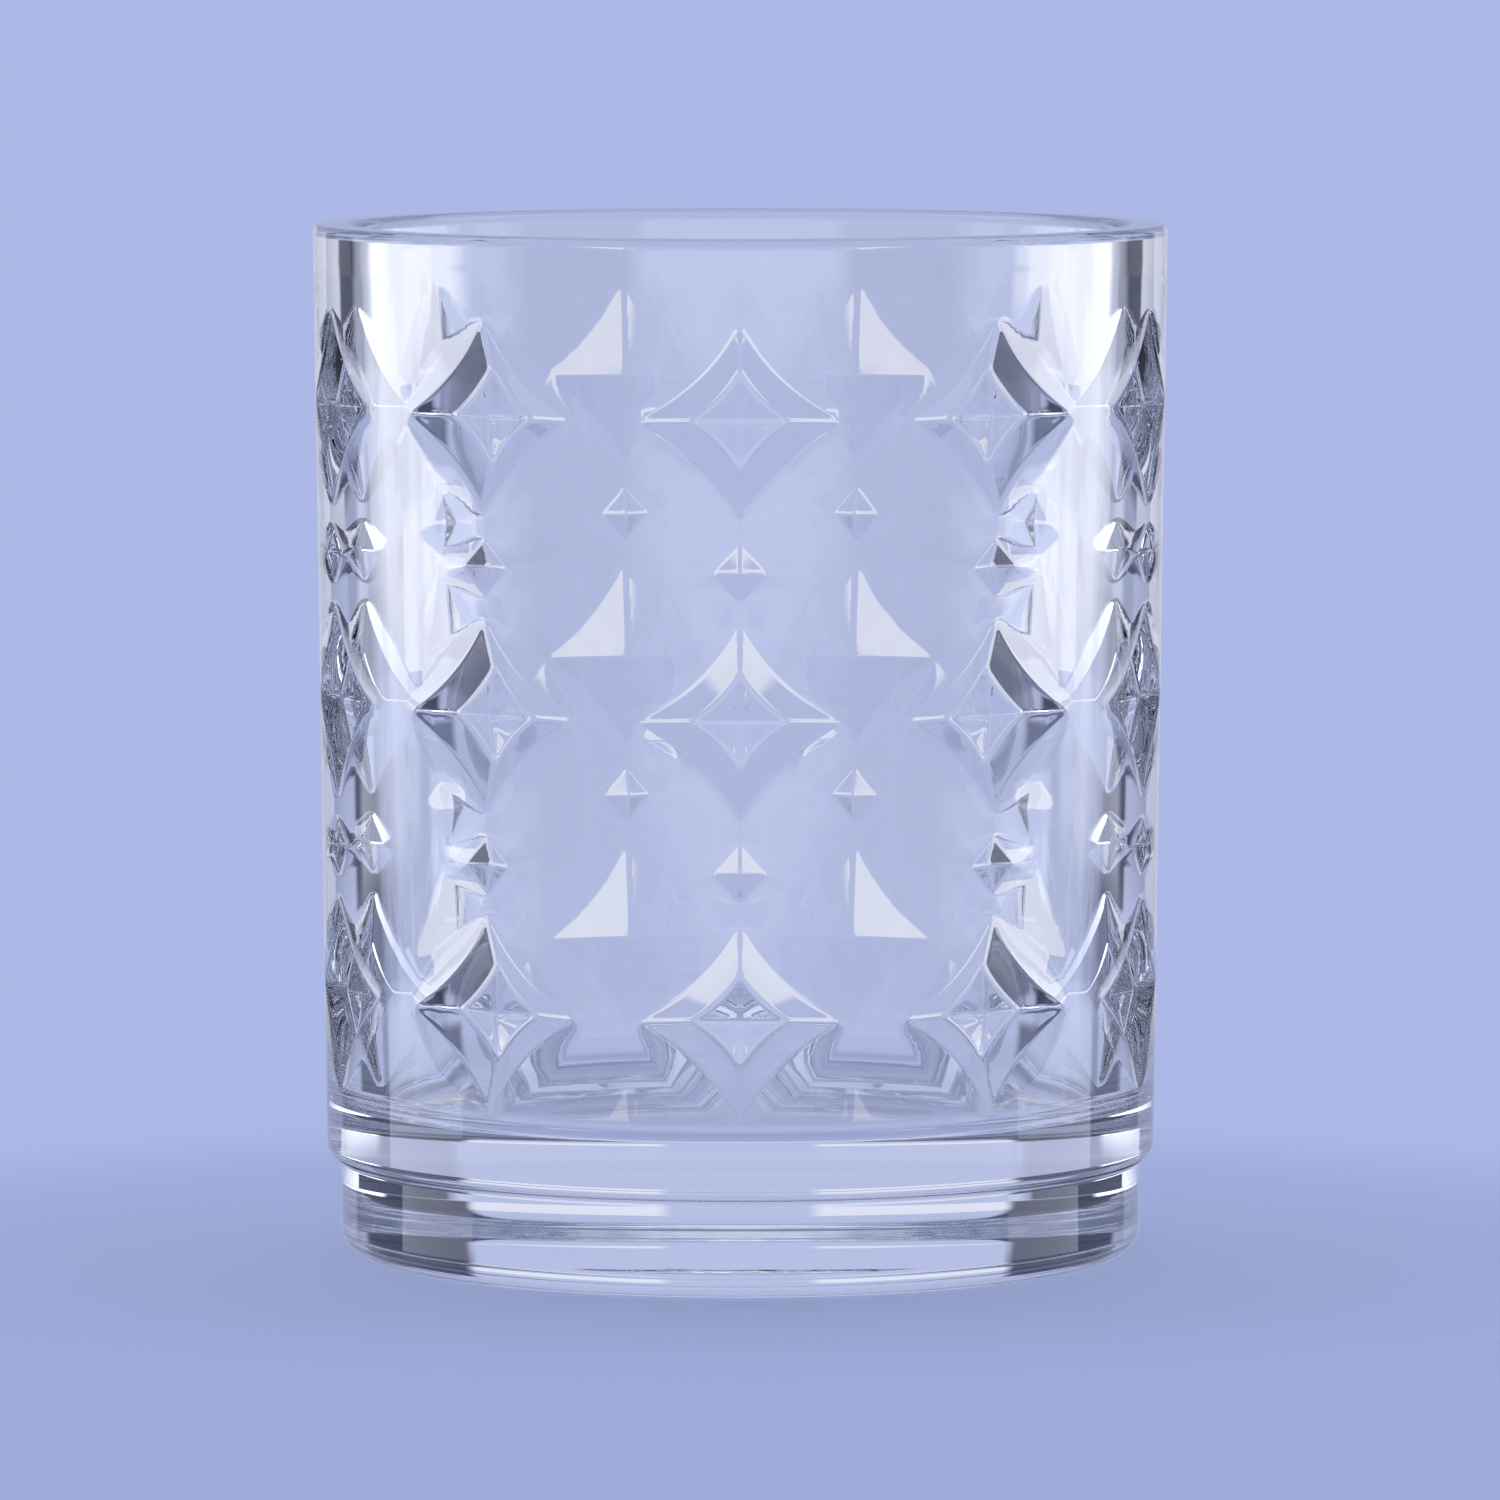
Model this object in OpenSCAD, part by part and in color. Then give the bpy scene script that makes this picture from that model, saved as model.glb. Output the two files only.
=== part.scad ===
// Whiskey tumbler in clear pressed glass: a nearly straight patterned wall, a heavy base and a
// narrower foot. The real tumbler is a single pressing. Its zones are drawn here as solids that meet
// face to face, named after the places a glassmaker would name: rim, wall, base and foot.
// Millimetres. The tumbler stands on z = 0, its axis is the Z axis and its front faces -Y.

/* [Overall] */
// Height from the resting ring to the top of the lip
tumbler_h = 100; // [96:1:106]
// Diameter just below the lip
top_d = 82.7; // [81:0.1:85]
// Diameter of the body at its shoulder, just above the foot
shoulder_d = 80.5; // [80:0.1:81]
// Thickness of the wall just below the lip
lip_t = 4.2; // [3.4:0.1:4.6]
// Radius of the lip's outer edge
lip_outer_r = 0.7; // [0.4:0.1:1.2]
// Radius of the lip's inner edge
lip_inner_r = 1.2; // [0.6:0.1:2]
// Thickness of the wall where it meets the base
wall_t = 5.6; // [4.8:0.1:6]

/* [Base and foot] */
// Height of the stepped-in foot
foot_h = 9.5; // [8:0.5:11]
// Diameter of the foot
foot_d = 76.6; // [74:0.1:76.8]
// Radius of the rounded bottom edge of the foot
foot_edge_r = 2.6; // [1.6:0.1:3.2]
// Height of the drinking floor above the resting ring
floor_z = 14.5; // [13.5:0.5:16]
// Radius of the inside corner between the floor and the wall
corner_r = 2.5; // [1.5:0.1:3]
// Radius of the rounded shoulder above the foot
shoulder_r = 1.2; // [0.6:0.1:1.2]
// Radius of the hollow corner where the foot meets the shoulder
neck_r = 0.6; // [0.2:0.1:0.7]
// Width of the ring that the foot rests on
ring_w = 2.4; // [1.6:0.1:3.5]
// Depth of the hollow under the foot
hollow_depth = 1.2; // [0.6:0.1:2]

/* [Star cuts] */
// Rows of large stars
star_rows = 3; // [2:1:3]
// Columns of stars on the front half
front_columns = 5; // [3:1:5]
// Columns of stars on the rear half, half a pitch out of step with the front ones
rear_columns = 4; // [2:1:4]
// Angle between neighbouring columns
column_pitch = 36; // [32:0.5:37]
// Width of a large star, tip to tip round the wall
star_w = 19.4; // [16:0.1:20]
// Height of a large star, tip to tip
star_h = 18.8; // [16:0.1:19.5]
// Depth of a large star at the edge of its inner star
star_depth = 1.6; // [0.8:0.1:1.8]
// Depth at the middle of the inner star, which rises again to a point
star_middle_depth = 0.6; // [0.2:0.1:1.8]
// Size of the inner star as a share of the outer one
inner_share = 0.5; // [0.4:0.02:0.6]
// How far in the hollow sides of a star reach, 0.7 being a straight-sided diamond
star_waist = 0.6; // [0.5:0.01:0.66]
// Width of a small diamond
diamond_w = 5.2; // [4:0.1:6]
// Height of a small diamond
diamond_h = 5.5; // [4:0.1:6]
// Depth of a small diamond
diamond_depth = 1.1; // [0.6:0.1:1.4]
// Plain band between the tips of the top row and the lip
plain_band = 7.6; // [6:0.1:9]

/* [Hidden] */
$fn = 96;
// Facets of a circle so large that only a shallow cap of it is used
cap_facets = 720;
// How far a cutting shape reaches past the face that it breaks
overlap = 1;

// The rim takes the rounded lip and a little straight wall below it
rim_h = 3;
rim_z = tumbler_h - rim_h;
// The wall starts level with the top of the inside corner
wall_z = floor_z + corner_r;

// Outside and inside radius of the tapered wall at a height
function outer_r(z) = shoulder_d / 2 + (top_d - shoulder_d) / 2 * (z - foot_h) / (rim_z - foot_h);
function inner_r(z) = outer_r(z) - wall_t + (wall_t - lip_t) * (z - wall_z) / (rim_z - wall_z);

// Heights of the rows, which fill the wall from just above the base to the plain band
tip_gap = 0.1;
first_row_z = wall_z + tip_gap + star_h / 2;
last_row_z = tumbler_h - plain_band - star_h / 2;
row_pitch = (last_row_z - first_row_z) / (star_rows - 1);
function row_z(i) = first_row_z + i * row_pitch;

// Angles of the columns, from the front face
front_angles = [for (i = [0:front_columns - 1]) (i - (front_columns - 1) / 2) * column_pitch];
rear_angles = [for (i = [0:rear_columns - 1]) 180 + (i - (rear_columns - 1) / 2) * column_pitch];
column_angles = concat(front_angles, rear_angles);
front_face = -90;

// One hollow side of a star, on a star of unit size: an arc from the side tip (1, 0) to the upper
// tip (0, 1) round a centre out on the diagonal
side_centre = (1 - star_waist * star_waist) / (2 - 2 * sqrt(2) * star_waist);
side_r = sqrt(2) * side_centre - star_waist;
side_start = atan2(-side_centre, 1 - side_centre);
side_turn = atan2(1 - side_centre, -side_centre) - side_start;
side_steps = 4;
function side_point(f) =
    let (a = side_start + side_turn * f)
    [side_centre + side_r * cos(a), side_centre + side_r * sin(a)];
function quarter_turn(p, q) = q == 0 ? p : quarter_turn([-p[1], p[0]], q - 1);
star_outline = [for (q = [0:3], i = [0:side_steps - 1]) quarter_turn(side_point(i / side_steps), q)];
diamond_outline = [[1, 0], [0, 1], [-1, 0], [0, -1]];
// A diamond's sides stay flat to its middle, so its ring may lie anywhere between
diamond_share = 0.5;

// A cutter's outer ring stands off the wall, and its cap farther out clears the wall's curve
ring_clear = 0.5;
cap_clear = 2;

// A point of the wall's surface, u round the wall and v up it from a column's centre, sunk by d
function on_wall(angle, z, u, v, d) =
    let (r = outer_r(z + v), a = front_face + angle + u / r * 180 / PI)
    [(r - d) * cos(a), (r - d) * sin(a), z + v];

// An outline scaled to a width and height and laid on the wall, sunk by d
function laid(outline, w, h, angle, z, d) =
    [for (p = outline) on_wall(angle, z, p[0] * w / 2, p[1] * h / 2, d)];

// Triangles that join two rings of n points, the second ring following the first
function band_faces(n, first) =
    [for (i = [0:n - 1], half = [0, 1])
        let (a = first + i, b = first + (i + 1) % n)
        half == 0 ? [a, b, a + n] : [b, b + n, a + n]];

// Solid between a cap outside the wall, a ring where the cut is ring_d deep, and its middle point.
// The outer ring is spread so that the sides cross the wall's surface on the outline itself.
module cutter(outline, w, h, share, angle, z, ring_d, middle_d) {
    n = len(outline);
    spread = 1 + ring_clear * (1 - share) / ring_d;
    cap = on_wall(angle, z, 0, 0, -cap_clear);
    outer = laid(outline, w * spread, h * spread, angle, z, -ring_clear);
    inner = laid(outline, w * share, h * share, angle, z, ring_d);
    middle = on_wall(angle, z, 0, 0, middle_d);
    polyhedron(
        points = concat([cap], outer, inner, [middle]),
        faces = concat(
            [for (i = [0:n - 1]) [0, 1 + (i + 1) % n, 1 + i]],
            band_faces(n, 1),
            [for (i = [0:n - 1]) [2 * n + 1, 1 + n + i, 1 + n + (i + 1) % n]]));
}

// Large four-pointed star: its sides slope in to a smaller star, whose middle rises again
module star_cut(angle, z) {
    cutter(star_outline, star_w, star_h, inner_share, angle, z, star_depth, star_middle_depth);
}

// Small diamond: a plain four-sided pyramid, sunk point inwards
module diamond_cut(angle, z) {
    ring_d = diamond_depth * (1 - diamond_share);
    cutter(diamond_outline, diamond_w, diamond_h, diamond_share, angle, z, ring_d, diamond_depth);
}

// Rim: the top of the wall, its lip nearly flat and rounded off on both edges by fire polishing
module rim() {
    rim_r = outer_r(rim_z);
    cup_r = rim_r - lip_t;
    color("aliceblue") rotate_extrude() {
        translate([cup_r, rim_z]) square([lip_t, rim_h - max(lip_outer_r, lip_inner_r)]);
        translate([cup_r + lip_inner_r, rim_z]) square([lip_t - lip_inner_r - lip_outer_r, rim_h]);
        translate([cup_r + lip_inner_r, tumbler_h - lip_inner_r]) circle(r = lip_inner_r);
        translate([rim_r - lip_outer_r, rim_z]) square([lip_outer_r, rim_h - lip_outer_r]);
        translate([rim_r - lip_outer_r, tumbler_h - lip_outer_r]) circle(r = lip_outer_r);
    }
}

// Wall: a tapered tube with the rows of stars and the diamonds between them sunk into its outside
module wall() {
    color("lightsteelblue") difference() {
        rotate_extrude() polygon([
            [inner_r(wall_z), wall_z], [outer_r(wall_z), wall_z],
            [outer_r(rim_z), rim_z], [inner_r(rim_z), rim_z]]);
        for (angle = column_angles, i = [0:star_rows - 1]) star_cut(angle, row_z(i));
        for (angle = column_angles, i = [0:star_rows - 2]) diamond_cut(angle, row_z(i + 0.5));
    }
}

// Base: the thick bottom of the cup, with the drinking floor, its rounded corner and the shoulder
module base() {
    corner_mid_r = inner_r(wall_z) - corner_r;
    shoulder_mid_r = outer_r(foot_h) - shoulder_r;
    shoulder_z = foot_h + shoulder_r;
    color("lightblue") rotate_extrude() difference() {
        union() {
            translate([0, foot_h]) square([shoulder_mid_r, shoulder_r]);
            translate([shoulder_mid_r, shoulder_z]) circle(r = shoulder_r);
            polygon([[0, shoulder_z], [outer_r(foot_h), shoulder_z],
                [outer_r(wall_z), wall_z], [0, wall_z]]);
        }
        translate([0, floor_z]) square([corner_mid_r, corner_r + overlap]);
        translate([corner_mid_r, wall_z]) circle(r = corner_r);
    }
}

// Foot: the narrower ring and disc below the shoulder, hollowed underneath so that it stands on a ring
module foot() {
    foot_r = foot_d / 2;
    hollow_r = foot_r - foot_edge_r - ring_w;
    // Sphere whose cap is hollow_r across and hollow_depth deep
    hollow_sphere_r = (hollow_r * hollow_r + hollow_depth * hollow_depth) / (2 * hollow_depth);
    // The hollow corner stays on the flat underside of the shoulder
    corner = min(neck_r, outer_r(foot_h) - shoulder_r - foot_r);
    color("powderblue") rotate_extrude() difference() {
        union() {
            translate([0, foot_edge_r]) square([foot_r, foot_h - foot_edge_r]);
            square([foot_r - foot_edge_r, foot_edge_r]);
            translate([foot_r - foot_edge_r, foot_edge_r]) circle(r = foot_edge_r);
            difference() {
                translate([foot_r, foot_h - corner]) square(corner);
                translate([foot_r + corner, foot_h - corner]) circle(r = corner);
            }
        }
        intersection() {
            translate([0, hollow_depth - hollow_sphere_r]) circle(r = hollow_sphere_r, $fn = cap_facets);
            translate([0, -overlap]) square([hollow_r + overlap, hollow_depth + overlap]);
        }
    }
}

rim();
wall();
base();
foot();
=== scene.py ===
import math
import bpy
import numpy as np
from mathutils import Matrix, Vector


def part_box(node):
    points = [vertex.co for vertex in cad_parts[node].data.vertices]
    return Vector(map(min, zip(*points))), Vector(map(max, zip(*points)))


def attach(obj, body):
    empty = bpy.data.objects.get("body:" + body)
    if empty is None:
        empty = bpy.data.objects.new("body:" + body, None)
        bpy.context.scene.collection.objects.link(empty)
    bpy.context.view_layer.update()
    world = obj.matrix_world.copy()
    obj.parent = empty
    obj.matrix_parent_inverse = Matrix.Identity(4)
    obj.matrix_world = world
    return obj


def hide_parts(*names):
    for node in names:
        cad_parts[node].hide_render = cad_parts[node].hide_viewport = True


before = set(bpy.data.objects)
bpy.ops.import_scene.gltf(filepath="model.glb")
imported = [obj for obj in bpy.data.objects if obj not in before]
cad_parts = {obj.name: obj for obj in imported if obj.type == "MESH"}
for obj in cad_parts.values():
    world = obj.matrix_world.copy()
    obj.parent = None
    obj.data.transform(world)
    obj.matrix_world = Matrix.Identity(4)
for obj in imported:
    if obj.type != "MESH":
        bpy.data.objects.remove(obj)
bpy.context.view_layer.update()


# ---------------------------------------------------------------------------------------------------
# Tumbler. One pressing of clear soda-lime glass: a plunger forms the smooth inside, a mould forms the
# outside with its rows of sunk stars, and the lip is melted round in the flame. One closed mesh stands
# for all four zones of the frame, since false surfaces between them would show in the glass.
# ---------------------------------------------------------------------------------------------------
MM = 0.001
rim_low, rim_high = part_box("rim")
wall_low, wall_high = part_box("wall")
base_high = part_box("base")[1]
foot_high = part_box("foot")[1]

# Sizes of the turned form, in millimetres, taken from the frame where its boxes give them
tumbler_h = rim_high[2] / MM
rim_z = rim_low[2] / MM
wall_z = wall_low[2] / MM
foot_h = foot_high[2] / MM
top_r = wall_high[0] / MM
foot_r = foot_high[0] / MM
wall_foot_r = base_high[0] / MM
taper = (top_r - wall_foot_r) / (rim_z - wall_z)
lip_t = 4.2
lip_outer_r = 0.7
lip_inner_r = 1.2
wall_t = 5.6
corner_r = 2.5
floor_z = wall_z - corner_r
shoulder_r = 1.2
neck_r = 0.6
foot_edge_r = 2.6
ring_w = 2.4
hollow_depth = 1.2


def outer_r(z):
    """Radius of the outside of the body at a height."""
    return wall_foot_r + taper * (z - wall_z)


def inner_r(z):
    """Radius of the inside of the cup at a height."""
    return outer_r(z) - wall_t + (wall_t - lip_t) * (z - wall_z) / (rim_z - wall_z)


# The cut pattern: columns of stars by their angle from the front, rows by their height
column_pitch = 36.0
front_angles = [(i - 2) * column_pitch for i in range(5)]
rear_angles = [180 + (i - 1.5) * column_pitch for i in range(4)]
star_rows = 3
star_w, star_h = 19.4, 18.8
star_depth, star_middle_depth, inner_share = 1.6, 0.6, 0.5
star_waist = 0.6
diamond_w, diamond_h, diamond_depth = 5.2, 5.5, 1.1
plain_band = 7.6
tip_gap = 0.1
first_row_z = wall_z + tip_gap + star_h / 2
row_pitch = (tumbler_h - plain_band - star_h / 2 - first_row_z) / (star_rows - 1)
# How far the cut edges and the ridges between facets are rounded, as a share of the cut's half width
edge_soft = 0.06
ridge_soft = 0.05

# Circle that the hollow side of a unit star follows, from its centre out on the diagonal
side_centre = (1 - star_waist ** 2) / (2 - 2 * math.sqrt(2) * star_waist)
side_r = math.sqrt(2) * side_centre - star_waist


def soft_abs(x, soft):
    """The size of x, rounded off near 0, which makes a soft ridge."""
    return np.where(np.abs(x) > soft, np.abs(x), (x * x + soft * soft) / (2 * soft))


def soft_ramp(x, soft):
    """Flat below 0 and rising above it, with the bend between them rounded."""
    return np.where(x <= -soft, 0.0, np.where(x >= soft, x, (x + soft) ** 2 / (4 * soft)))


def star_reach(x, y):
    """How far a point of the unit star lies out: 0 at its middle, 1 on its hollow-sided outline."""
    x, y = soft_abs(x, ridge_soft), soft_abs(y, ridge_soft)
    across = side_centre * (x + y)
    inside = across ** 2 - (x * x + y * y) * (2 * side_centre - 1)
    return (across + np.sqrt(np.maximum(inside, 0))) / (2 * side_centre - 1)


def star_sink(x, y):
    """Depth of a star on the front: its sides slope in to a smaller star, whose middle rises again."""
    reach = star_reach(x, y)
    outer_slope = star_depth / (1 - inner_share)
    inner_slope = (star_middle_depth - star_depth) / inner_share
    return (outer_slope * soft_ramp(1 - reach, edge_soft)
            + (inner_slope - outer_slope) * soft_ramp(inner_share - reach, edge_soft))


def rear_star_sink(x, y):
    """Depth of a star on the rear: a plain pyramid on the same hollow-sided outline."""
    return star_depth * soft_ramp(1 - star_reach(x, y), edge_soft)


def diamond_sink(x, y):
    """Depth of the small four-sided diamond cut."""
    reach = soft_abs(x, 2 * ridge_soft) + soft_abs(y, 2 * ridge_soft)
    return diamond_depth * soft_ramp(1 - reach, 2 * edge_soft)


def star_outline(quarter_steps):
    """One turn round the unit star from its right tip, closer together near the tips."""
    start = math.atan2(-side_centre, 1 - side_centre)
    turn = math.atan2(1 - side_centre, -side_centre) - start
    f = 0.5 - 0.5 * np.cos(np.pi * np.arange(quarter_steps) / quarter_steps)
    a = start + turn * f
    x, y = side_centre + side_r * np.cos(a), side_centre + side_r * np.sin(a)
    return np.concatenate([np.stack(p, 1) for p in ((x, y), (-y, x), (-x, -y), (y, -x))])


def diamond_outline(quarter_steps):
    """One turn round the unit diamond, with the same spacing as the star's outline."""
    f = 0.5 - 0.5 * np.cos(np.pi * np.arange(quarter_steps) / quarter_steps)
    x, y = 1 - f, f
    return np.concatenate([np.stack(p, 1) for p in ((x, y), (-y, x), (-x, -y), (y, -x))])


def tile_border(across, up):
    """One turn round a tile from the middle of its right side, in even steps, on a tile of unit size."""
    right = [(1, v) for v in np.linspace(0, 1, up // 2, endpoint=False)]
    top = [(u, 1) for u in np.linspace(1, -1, across, endpoint=False)]
    left = [(-1, v) for v in np.linspace(1, -1, up, endpoint=False)]
    bottom = [(u, -1) for u in np.linspace(-1, 1, across, endpoint=False)]
    right_low = [(1, v) for v in np.linspace(-1, 0, up // 2, endpoint=False)]
    return np.array(right + top + left + bottom + right_low, dtype=float)


points, normals, faces = [], [], []


def add_grid(place, normal, quads):
    """Adds a patch of the surface: points, normals, and faces that count from its first point."""
    first = sum(len(p) for p in points)
    points.append(place)
    normals.append(normal)
    faces.extend([tuple(first + i for i in q) for q in quads])


def field_point(angle, z, sink):
    """A point of the wall's outside at an angle from the front, sunk by a depth."""
    a = np.radians(angle)
    r = outer_r(z) - sink
    return np.stack([r * np.sin(a), -r * np.cos(a), z], -1)


# Rings of points between a cut's outline and its tile's edge, as shares of the way
margin_rings = (0.3, 0.65, 1.0)
# Half the step, in degrees round and millimetres up, over which the surface's slope is measured
probe = 0.002


def add_cut_tile(column, z, half_h, cut_w, cut_h, sink, outline, across, up, rings):
    """A tile of the wall round one cut, from rings that follow the cut's outline to the tile's edge."""
    half_w = column_pitch / 2
    cut_a = math.degrees(cut_w / 2 / outer_r(z))
    size = np.array([cut_a, cut_h / 2])
    border = tile_border(across, up) * np.array([half_w, half_h])
    shape = outline((across + up) // 2) * size
    flat = [np.zeros((1, 2))]
    flat += [shape * s for s in rings]
    flat += [shape * rings[-1] * (1 - f) + border * f for f in margin_rings]
    flat = np.concatenate(flat)

    def surface(p):
        return field_point(column + p[:, 0], z + p[:, 1], sink(p[:, 0] / size[0], p[:, 1] / size[1]))

    d_a = surface(flat + [probe, 0]) - surface(flat - [probe, 0])
    d_z = surface(flat + [0, probe]) - surface(flat - [0, probe])
    normal = np.cross(d_a, d_z)
    normal /= np.linalg.norm(normal, axis=1, keepdims=True)
    n = len(border)
    quads = [(0, 1 + t, 1 + (t + 1) % n) for t in range(n)]
    for ring in range(len(rings) + len(margin_rings) - 1):
        low, high = 1 + ring * n, 1 + (ring + 1) * n
        quads += [(low + t, high + t, high + (t + 1) % n, low + (t + 1) % n) for t in range(n)]
    add_grid(surface(flat), normal, quads)


tile_margin = 0.8
star_tile_h = star_h + 2 * tile_margin
diamond_tile_h = row_pitch - star_tile_h
across_steps, star_up, diamond_up = 20, 20, 8
# Rings of points inside a cut, closer together where its slope changes
star_rings = [0.05, 0.12, 0.22, 0.34, 0.42, 0.47, 0.485, 0.5, 0.515, 0.53, 0.58, 0.66, 0.75, 0.84]
star_rings += [0.92, 0.97, 0.985, 1.0, 1.015, 1.03]
diamond_rings = [0.1, 0.3, 0.5, 0.7, 0.85, 0.94, 0.97, 1.0, 1.03, 1.06]
for column in front_angles + rear_angles:
    sink = star_sink if column in front_angles else rear_star_sink
    for row in range(star_rows):
        z = first_row_z + row * row_pitch
        add_cut_tile(column, z, star_tile_h / 2, star_w, star_h, sink,
                     star_outline, across_steps, star_up, star_rings)
    for row in range(star_rows - 1):
        z = first_row_z + (row + 0.5) * row_pitch
        add_cut_tile(column, z, diamond_tile_h / 2, diamond_w, diamond_h, diamond_sink,
                     diamond_outline, across_steps, diamond_up, diamond_rings)

field_low = first_row_z - star_tile_h / 2
field_high = first_row_z + (star_rows - 1) * row_pitch + star_tile_h / 2
turn_steps = round(360 / column_pitch) * across_steps


def turned(profile, angles, closed):
    """Sweeps a list of (radius, height, normal radius, normal height) round the axis."""
    p = np.array(profile, dtype=float)
    a = np.radians(angles)[None, :]
    r, z, nr, nz = (p[:, i][:, None] for i in range(4))
    place = np.stack([r * np.sin(a), -r * np.cos(a), z + 0 * a], -1)
    normal = np.stack([nr * np.sin(a), -nr * np.cos(a), nz + 0 * a], -1)
    m, n = place.shape[:2]
    spans = n if closed else n - 1
    quads = [(i * n + t, i * n + (t + 1) % n, (i + 1) * n + (t + 1) % n, (i + 1) * n + t)
             for i in range(m - 1) for t in range(spans)]
    add_grid(place.reshape(-1, 3), normal.reshape(-1, 3), quads)


def line(r0, z0, r1, z1, steps):
    """Points along a straight stretch of the profile, with the glass on the left of its direction."""
    length = math.hypot(r1 - r0, z1 - z0)
    nr, nz = (z1 - z0) / length, -(r1 - r0) / length
    return [(r0 + (r1 - r0) * f, z0 + (z1 - z0) * f, nr, nz) for f in np.linspace(0, 1, steps + 1)]


def arc(r0, z0, radius, start, end, steps, hollow=False):
    """Points along a round of the profile. A hollow one has the glass outside it."""
    sign = -1 if hollow else 1
    return [(r0 + radius * math.cos(a), z0 + radius * math.sin(a), sign * math.cos(a), sign * math.sin(a))
            for a in np.radians(np.linspace(start, end, steps + 1))]


lip_mid_r = outer_r(rim_z) - lip_outer_r
lip_flat_r = inner_r(rim_z) + lip_inner_r
corner_mid_r = inner_r(wall_z) - corner_r
shoulder_mid_r = outer_r(foot_h) - shoulder_r
hollow_r = foot_r - foot_edge_r - ring_w
hollow_sphere_r = (hollow_r ** 2 + hollow_depth ** 2) / (2 * hollow_depth)
hollow_edge = math.degrees(math.asin(hollow_r / hollow_sphere_r))

# The turned surfaces, each stretch ending with its number of steps: from the pattern up over the lip and
# down the inside to the middle of the floor, and from the middle of the underside out and up to the
# pattern. Their angles start at the edge of the first column, so that they meet the tiles point by point.
full_turn = front_angles[0] - column_pitch / 2 + np.arange(turn_steps) * 360 / turn_steps
upper = (line(outer_r(field_high), field_high, outer_r(rim_z), rim_z, 3)
         + line(outer_r(rim_z), rim_z, outer_r(rim_z), tumbler_h - lip_outer_r, 2)[1:]
         + arc(lip_mid_r, tumbler_h - lip_outer_r, lip_outer_r, 0, 90, 12)[1:]
         + line(lip_mid_r, tumbler_h, lip_flat_r, tumbler_h, 3)[1:]
         + arc(lip_flat_r, tumbler_h - lip_inner_r, lip_inner_r, 90, 180, 14)[1:]
         + line(inner_r(rim_z), tumbler_h - lip_inner_r, inner_r(rim_z), rim_z, 2)[1:]
         + line(inner_r(rim_z), rim_z, inner_r(wall_z), wall_z, 40)[1:]
         + arc(corner_mid_r, wall_z, corner_r, 0, -90, 12, hollow=True)[1:]
         + line(corner_mid_r, floor_z, 0, floor_z, 10)[1:])
lower = (arc(0, hollow_depth - hollow_sphere_r, hollow_sphere_r, 90, 90 - hollow_edge, 10, hollow=True)
         + line(hollow_r, 0, foot_r - foot_edge_r, 0, 3)
         + arc(foot_r - foot_edge_r, foot_edge_r, foot_edge_r, -90, 0, 14)[1:]
         + line(foot_r, foot_edge_r, foot_r, foot_h - neck_r, 4)[1:]
         + arc(foot_r + neck_r, foot_h - neck_r, neck_r, 180, 90, 6, hollow=True)[1:]
         + line(foot_r + neck_r, foot_h, shoulder_mid_r, foot_h, 1)[1:]
         + arc(shoulder_mid_r, foot_h + shoulder_r, shoulder_r, -90, 0, 8)[1:]
         + line(outer_r(foot_h + shoulder_r), foot_h + shoulder_r, outer_r(field_low), field_low, 4))
turned(upper, full_turn, True)
turned(lower, full_turn, True)

# The two plain strips of wall between the front columns and the rear ones, half a pitch wide, with
# their points level with those on the sides of the tiles
gap_steps = across_steps // 2
heights = []
for row in range(star_rows):
    z = first_row_z + row * row_pitch
    tile_low, tile_high = z - star_tile_h / 2, z + star_tile_h / 2
    heights += list(np.linspace(tile_low, tile_high, star_up + 1))[row > 0:]
    if row < star_rows - 1:
        next_low = z + row_pitch - star_tile_h / 2
        heights += list(np.linspace(tile_high, next_low, diamond_up + 1))[1:]
slope = math.hypot(1, taper)
gap_profile = [(outer_r(z), z, 1 / slope, -taper / slope) for z in heights]
for start in (front_angles[-1] + column_pitch / 2, rear_angles[-1] + column_pitch / 2):
    turned(gap_profile, np.linspace(start, start + column_pitch / 2, gap_steps + 1), False)

# Points of neighbouring patches that agree to half a thousandth of a millimetre become one
merge_steps_per_mm = 2000
place = np.concatenate(points)
normal = np.concatenate(normals)
keys = np.round(place * merge_steps_per_mm).astype(np.int64)
_, first, index = np.unique(keys, axis=0, return_index=True, return_inverse=True)
index = index.reshape(-1)
place, normal = place[first], normal[first]
# On the axis two corners of a face fall together, and it keeps the other three
merged_faces = []
for face in faces:
    corners = [int(index[i]) for i in face]
    corners = [v for i, v in enumerate(corners) if v != corners[i - 1]]
    if len(set(corners)) == len(corners) > 2:
        merged_faces.append(corners)
tumbler_mesh = bpy.data.meshes.new("tumbler")
tumbler_mesh.from_pydata((place * MM).tolist(), [], merged_faces)
tumbler_mesh.update()
tumbler_mesh.shade_smooth()
tumbler_mesh.normals_split_custom_set_from_vertices(normal.tolist())
tumbler = bpy.data.objects.new("tumbler", tumbler_mesh)
bpy.context.scene.collection.objects.link(tumbler)
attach(tumbler, "root")
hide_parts("rim", "wall", "base", "foot")

clear_tint = (0.985, 0.99, 1.0)
# Painted shade: the dark blue that the glass's colour turns to where its surface is seen edge-on
painted_outline_shade = (0.10, 0.12, 0.22)
shadow_tint = (0.86, 0.88, 0.92)
ripple_height = 0.000008
glass = bpy.data.materials.new("clear_glass")
glass.use_nodes = True
nodes, links = glass.node_tree.nodes, glass.node_tree.links
shader = nodes["Principled BSDF"]
# Painted shade at the outlines: the glass's colour darkens where the surface is seen edge-on, which draws
# dark outlines round the glass and its cuts
slant = nodes.new("ShaderNodeLayerWeight")
slant.inputs["Blend"].default_value = 0.5
outline = nodes.new("ShaderNodeMapRange")
outline.interpolation_type = "SMOOTHSTEP"
outline.inputs["From Min"].default_value = 0.62
outline.inputs["From Max"].default_value = 0.98
links.new(slant.outputs["Facing"], outline.inputs["Value"])
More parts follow.
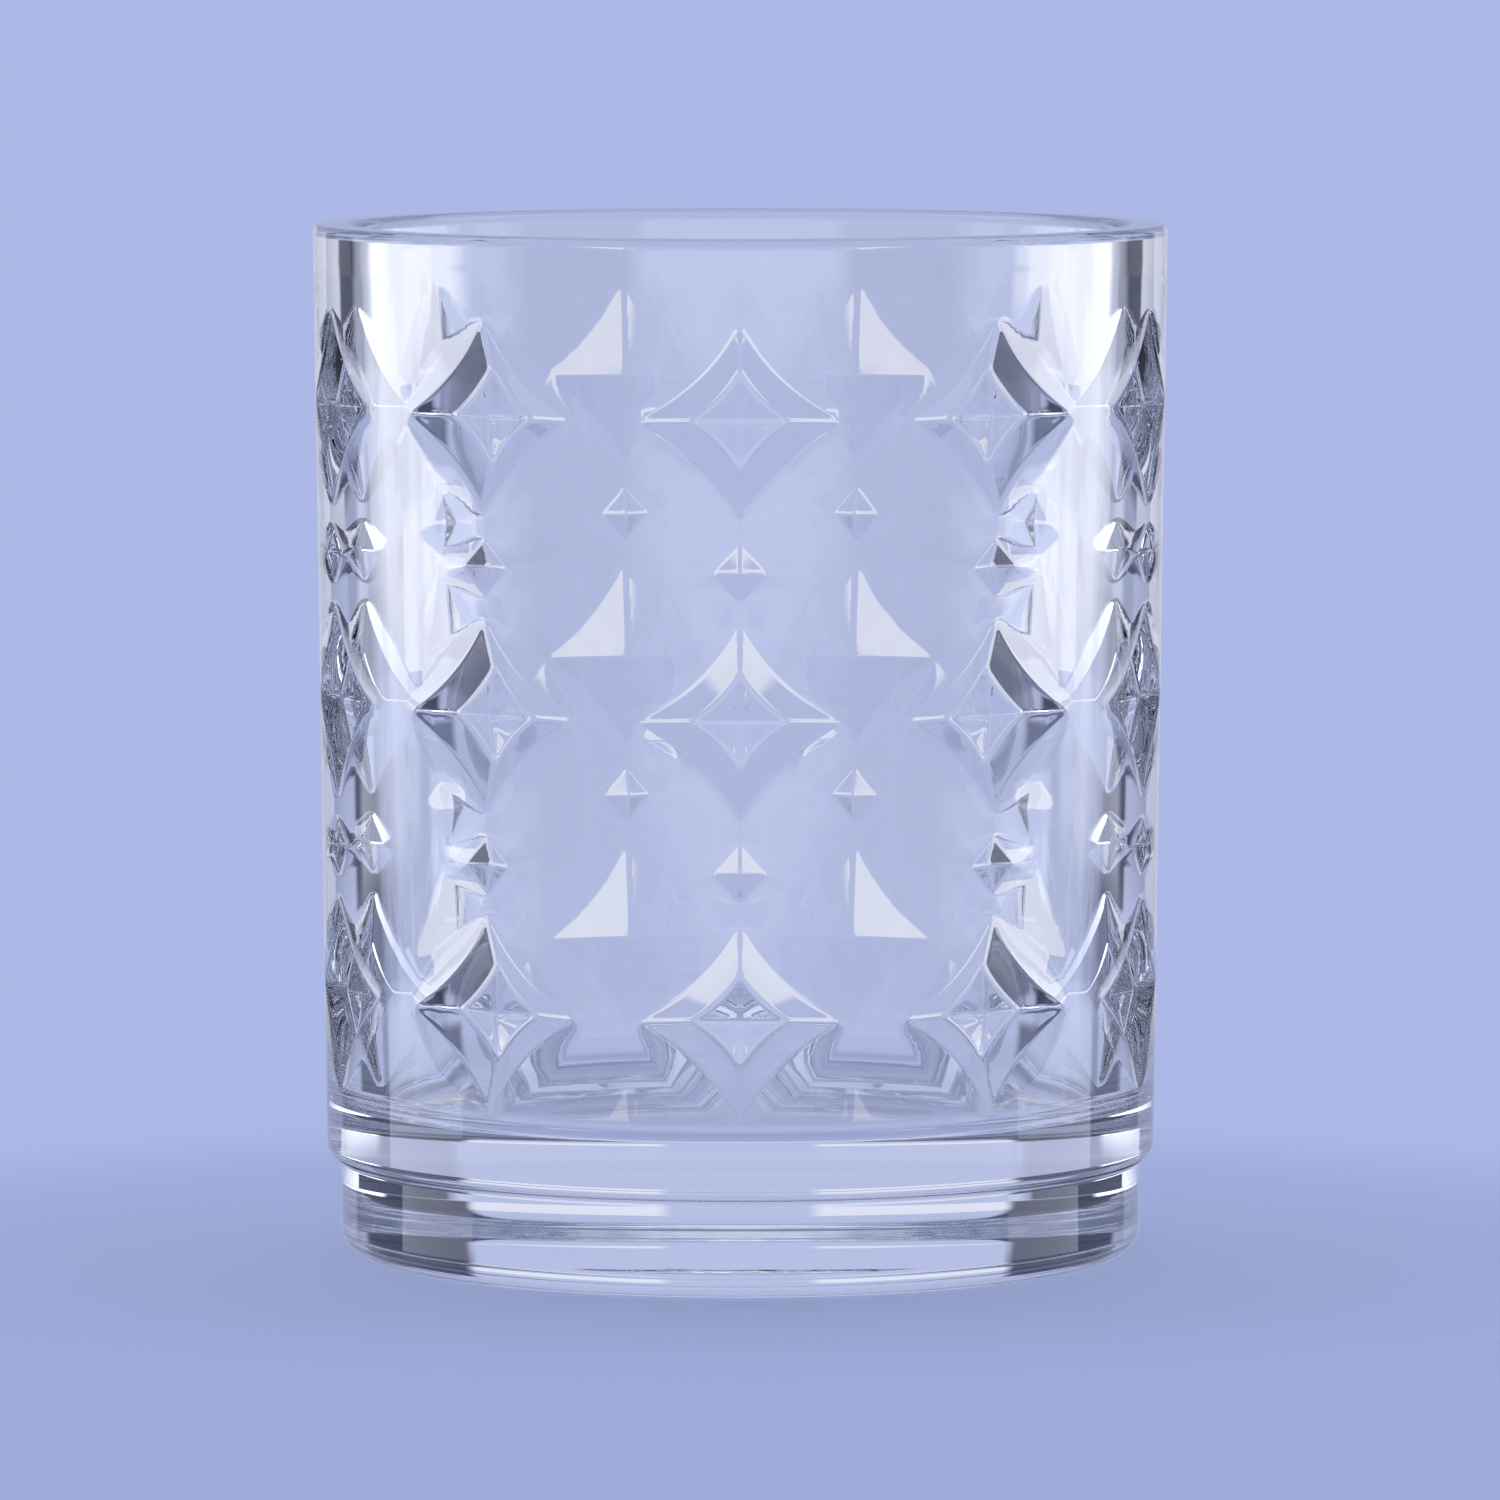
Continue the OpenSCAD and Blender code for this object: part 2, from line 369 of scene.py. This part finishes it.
# A colour mix takes its two colours at sockets 6 and 7 and gives the result at 2
tint_with_painted_outline = nodes.new("ShaderNodeMix")
tint_with_painted_outline.data_type = "RGBA"
tint_with_painted_outline.inputs[6].default_value = (*clear_tint, 1)
tint_with_painted_outline.inputs[7].default_value = (*painted_outline_shade, 1)
links.new(outline.outputs["Result"], tint_with_painted_outline.inputs["Factor"])
links.new(tint_with_painted_outline.outputs[2], shader.inputs["Base Color"])
shader.inputs["Roughness"].default_value = 0.0
shader.inputs["IOR"].default_value = 1.51
shader.inputs["Transmission Weight"].default_value = 1.0
# Faint upright ripples that the plunger and the mould leave in the surface
glass_place = nodes.new("ShaderNodeTexCoord")
stretch = nodes.new("ShaderNodeMapping")
stretch.inputs["Scale"].default_value = (260, 260, 14)
links.new(glass_place.outputs["Object"], stretch.inputs["Vector"])
ripple = nodes.new("ShaderNodeTexNoise")
ripple.inputs["Scale"].default_value = 1.0
ripple.inputs["Detail"].default_value = 2.0
links.new(stretch.outputs["Vector"], ripple.inputs["Vector"])
bump = nodes.new("ShaderNodeBump")
bump.inputs["Strength"].default_value = 1.0
bump.inputs["Distance"].default_value = ripple_height
links.new(ripple.outputs["Fac"], bump.inputs["Height"])
links.new(bump.outputs["Normal"], shader.inputs["Normal"])
# The glass dims the light that reaches the floor through it, and doesn't block it
glass_ray = nodes.new("ShaderNodeLightPath")
dimmed = nodes.new("ShaderNodeBsdfTransparent")
dimmed.inputs["Color"].default_value = (*shadow_tint, 1)
glass_mix = nodes.new("ShaderNodeMixShader")
links.new(glass_ray.outputs["Is Shadow Ray"], glass_mix.inputs[0])
links.new(shader.outputs[0], glass_mix.inputs[1])
links.new(dimmed.outputs[0], glass_mix.inputs[2])
links.new(glass_mix.outputs[0], nodes["Material Output"].inputs["Surface"])
tumbler.data.materials.append(glass)


# ---------------------------------------------------------------------------------------------------
# Floor: a disc of pale periwinkle paper, matt, that fades out round the tumbler into the lower tone of
# the backdrop, so that its edge doesn't show from any side.
# ---------------------------------------------------------------------------------------------------
floor_radius = 0.13
fade_start, fade_end = 0.055, 0.95 * floor_radius
paper_color = (0.40, 0.47, 0.86)
# A little light of its own brings the paper to the backdrop's lower tone
paper_glow = (0.168, 0.188, 0.158)
floor_steps = 96
floor_mesh = bpy.data.meshes.new("floor")
floor_edge = [(floor_radius * math.cos(a), floor_radius * math.sin(a), 0)
              for a in (2 * math.pi * i / floor_steps for i in range(floor_steps))]
floor_mesh.from_pydata(floor_edge, [], [range(floor_steps)])
floor = bpy.data.objects.new("floor", floor_mesh)
bpy.context.scene.collection.objects.link(floor)
paper = bpy.data.materials.new("paper")
paper.use_nodes = True
nodes, links = paper.node_tree.nodes, paper.node_tree.links
paper_shader = nodes["Principled BSDF"]
paper_shader.inputs["Base Color"].default_value = (*paper_color, 1)
paper_shader.inputs["Roughness"].default_value = 0.9
paper_shader.inputs["Specular IOR Level"].default_value = 0.0
paper_shader.inputs["Emission Color"].default_value = (*paper_glow, 1)
paper_shader.inputs["Emission Strength"].default_value = 1.0
paper_place = nodes.new("ShaderNodeTexCoord")
reach = nodes.new("ShaderNodeVectorMath")
reach.operation = "LENGTH"
links.new(paper_place.outputs["Object"], reach.inputs[0])
fade = nodes.new("ShaderNodeMapRange")
fade.interpolation_type = "SMOOTHSTEP"
fade.inputs["From Min"].default_value = fade_start
fade.inputs["From Max"].default_value = fade_end
links.new(reach.outputs["Value"], fade.inputs["Value"])
gone = nodes.new("ShaderNodeBsdfTransparent")
paper_mix = nodes.new("ShaderNodeMixShader")
links.new(fade.outputs["Result"], paper_mix.inputs[0])
links.new(paper_shader.outputs[0], paper_mix.inputs[1])
links.new(gone.outputs[0], paper_mix.inputs[2])
links.new(paper_mix.outputs[0], nodes["Material Output"].inputs["Surface"])
floor.data.materials.append(paper)
# Seen in or through the glass, the table of the studio stands in for the disc
floor.visible_transmission = False
floor.visible_glossy = False


# ---------------------------------------------------------------------------------------------------
# Camera: on the front, a little above the lip, with a long lens. It looks at a point just right of the
# axis and just below half height, so the tumbler stands a little left of the middle.
# ---------------------------------------------------------------------------------------------------
camera_distance = 1.1
camera_height = 0.142
# Width of the view where the tumbler stands, in diameters of the tumbler
view_diameters = 1.763
view_width = view_diameters * 2 * top_r * MM
aim = Vector((0.00094, 0, 0.0488))
camera_data = bpy.data.cameras.new("camera")
camera = bpy.data.objects.new("camera", camera_data)
bpy.context.scene.collection.objects.link(camera)
camera.location = (aim.x, -camera_distance, camera_height)
camera.rotation_euler = (aim - camera.location).to_track_quat("-Z", "Y").to_euler()
camera_data.lens = camera_data.sensor_width * (aim - camera.location).length / view_width
camera_data.clip_start = 0.05
bpy.context.scene.camera = camera


# ---------------------------------------------------------------------------------------------------
# Studio: pale blue paper behind the tumbler and a table under it, black flags and low soft boxes at
# both sides, a soft box overhead, and in front lit walls with flags before them. Each one is a
# soft-edged window of directions, in degrees of turn away from straight behind and of rise.
# ---------------------------------------------------------------------------------------------------
world = bpy.data.worlds.new("studio")
bpy.context.scene.world = world
world.use_nodes = True
nodes, links = world.node_tree.nodes, world.node_tree.links
sky = nodes.new("ShaderNodeTexCoord")
parts = nodes.new("ShaderNodeSeparateXYZ")
links.new(sky.outputs["Generated"], parts.inputs[0])


def studio_math(operation, a, b=None):
    """The result of one sum on numbers or on the outputs of other nodes."""
    node = nodes.new("ShaderNodeMath")
    node.operation = operation
    for slot, value in enumerate((a, b)):
        if isinstance(value, bpy.types.NodeSocket):
            links.new(value, node.inputs[slot])
        elif value is not None:
            node.inputs[slot].default_value = value
    return node.outputs[0]


turn = studio_math("ARCTAN2", studio_math("ABSOLUTE", parts.outputs["X"]), parts.outputs["Y"])
turn = studio_math("DEGREES", turn)
rise = studio_math("DEGREES", studio_math("ARCSINE", parts.outputs["Z"]))


def soft_step(value, at, soft):
    """0 below a number of degrees and 1 above it, with a soft change between them."""
    node = nodes.new("ShaderNodeMapRange")
    node.interpolation_type = "SMOOTHSTEP"
    node.inputs["From Min"].default_value = at - soft
    node.inputs["From Max"].default_value = at + soft
    links.new(value, node.inputs["Value"])
    return node.outputs["Result"]


def window(value, low, high, soft):
    """1 between two numbers of degrees and 0 outside them, with soft edges."""
    return studio_math("MULTIPLY", soft_step(value, low, soft),
                       studio_math("SUBTRACT", 1.0, soft_step(value, high, soft)))


def laid_over(below, color, turns, rises, turn_soft, rise_soft):
    """One more panel before the rest of the studio: its colour, its span of turn, its span of rise, and
    how soft its upright and its level edges are."""
    node = nodes.new("ShaderNodeMix")
    node.data_type = "RGBA"
    covers = studio_math("MULTIPLY", window(turn, *turns, turn_soft), window(rise, *rises, rise_soft))
    links.new(covers, node.inputs["Factor"])
    links.new(below, node.inputs[6])
    node.inputs[7].default_value = (*color, 1)
    return node.outputs[2]


def plain(color):
    """The same colour in every direction."""
    node = nodes.new("ShaderNodeRGB")
    node.outputs[0].default_value = (*color, 1)
    return node.outputs[0]


# Turn goes from 0 behind to 180 ahead, and rise from -90 to 90. A span that ends at one of these lies
# open at that end.
behind, ahead = -10, 200
nadir, zenith = -100, 100

studio = plain((0.48, 0.535, 0.78))
# The paper's brighter sides, and its upper part where the light on it falls off
studio = laid_over(studio, (0.78, 0.80, 0.93), (7, 90), (-6.2, 5.2), 0.9, 0.4)
studio = laid_over(studio, (0.30, 0.36, 0.58), (behind, ahead), (22, zenith), 1, 3)
# Walls ahead, in a lit, a dimmer and a dark band from the table up, with a flag on each side of them
studio = laid_over(studio, (0.85, 0.91, 1.10), (90, ahead), (-6, 4), 2, 1.5)
studio = laid_over(studio, (0.38, 0.45, 0.72), (90, ahead), (4, 14), 2, 1.5)
studio = laid_over(studio, (0.10, 0.12, 0.20), (108, 150), (-7, 34), 3, 1.5)
studio = laid_over(studio, (0.14, 0.17, 0.28), (86, ahead), (14, zenith), 2, 3)
# A black flag on each side of the paper, a dark one farther out, and a paler strip across that one
studio = laid_over(studio, (0.035, 0.04, 0.075), (30.5, 62), (-6.2, 36), 1.2, 0.2)
studio = laid_over(studio, (0.15, 0.17, 0.27), (62, 90), (-6.2, 36), 1.5, 0.2)
studio = laid_over(studio, (0.42, 0.46, 0.66), (60, 90), (5, 10), 2, 1)
# The table, darker close in, with dark patches before the flags and a dim strip under them
studio = laid_over(studio, (0.45, 0.50, 0.74), (behind, ahead), (nadir, -9), 1, 2)
studio = laid_over(studio, (0.31, 0.365, 0.61), (behind, ahead), (nadir, -32), 1, 6)
studio = laid_over(studio, (0.12, 0.14, 0.22), (34, 66), (-10, -6.9), 2, 0.2)
studio = laid_over(studio, (0.10, 0.12, 0.20), (46, 61), (-23, -15), 2.5, 1)
studio = laid_over(studio, (0.05, 0.055, 0.09), (35, 66), (-9, -6.9), 0.5, 0.1)
studio = laid_over(studio, (0.36, 0.40, 0.58), (32, 97), (-6.9, -6.2), 2, 0.1)
# A low soft box on each side with a lower one outside it, and the soft box overhead
studio = laid_over(studio, (1.9, 2.0, 2.3), (52, 82), (-6.2, -0.6), 2, 0.2)
studio = laid_over(studio, (1.6, 1.7, 2.0), (66, 97), (-8, -6.9), 0.5, 0.1)
studio = laid_over(studio, (0.95, 1.02, 1.25), (behind, 84), (36, zenith), 2, 2)

# The camera itself sees only a plain backdrop, which changes tone a little below level
backdrop_low = (0.348, 0.408, 0.708)
backdrop_high = (0.413, 0.483, 0.792)
change_rise, change_soft = -7.1, 0.35
seen = nodes.new("ShaderNodeLightPath")
backdrop = nodes.new("ShaderNodeMix")
backdrop.data_type = "RGBA"
links.new(soft_step(rise, change_rise, change_soft), backdrop.inputs["Factor"])
backdrop.inputs[6].default_value = (*backdrop_low, 1)
backdrop.inputs[7].default_value = (*backdrop_high, 1)
studio_mix = nodes.new("ShaderNodeMix")
studio_mix.data_type = "RGBA"
links.new(seen.outputs["Is Camera Ray"], studio_mix.inputs["Factor"])
links.new(studio, studio_mix.inputs[6])
links.new(backdrop.outputs[2], studio_mix.inputs[7])
links.new(studio_mix.outputs[2], nodes["Background"].inputs["Color"])

# Light turns back many times inside the cuts before it leaves the glass
bounces = 28
bpy.context.scene.view_settings.view_transform = "Standard"
bpy.context.scene.cycles.max_bounces = bounces
bpy.context.scene.cycles.transmission_bounces = bounces
bpy.context.scene.cycles.glossy_bounces = bounces
